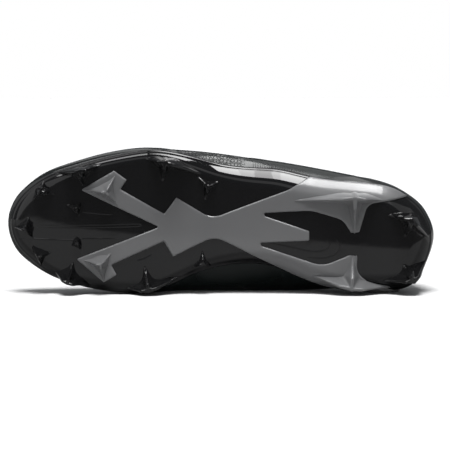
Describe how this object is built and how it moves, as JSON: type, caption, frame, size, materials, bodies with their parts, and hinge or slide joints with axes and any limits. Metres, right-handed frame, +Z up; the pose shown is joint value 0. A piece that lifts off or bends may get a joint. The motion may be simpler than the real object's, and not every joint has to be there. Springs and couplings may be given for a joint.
{
  "type": "american football cleat",
  "caption": "Left low-cut football cleat on its inner side: glossy plate with moulded studs, grey X-shaped chassis, laced upper",
  "frame": {"origin": "on the ground, under the middle of the lying shoe", "axes": "+X to the heel, the sole faces -Y, +Z up; the shoe lies on its inner side"},
  "size_m": [0.292, 0.1066, 0.0999],
  "materials": {
    "gloss_plate": "high gloss black",
    "grey_chassis": "satin grey",
    "coated_upper": "coated synthetic, semi-gloss black",
    "lining": "matt black textile",
    "lace": "woven black"
  },
  "bodies": {
    "root": {"sole_plate": "gloss_plate", "chassis": "grey_chassis", "upper": "coated_upper", "insole": "lining", "tongue": "lining", "lace_bar": "lace", "lace_crossing_1": "lace", "lace_crossing_2": "lace", "lace_crossing_3": "lace", "lace_crossing_4": "lace", "lace_crossing_5": "lace"}
  },
  "joints": []
}
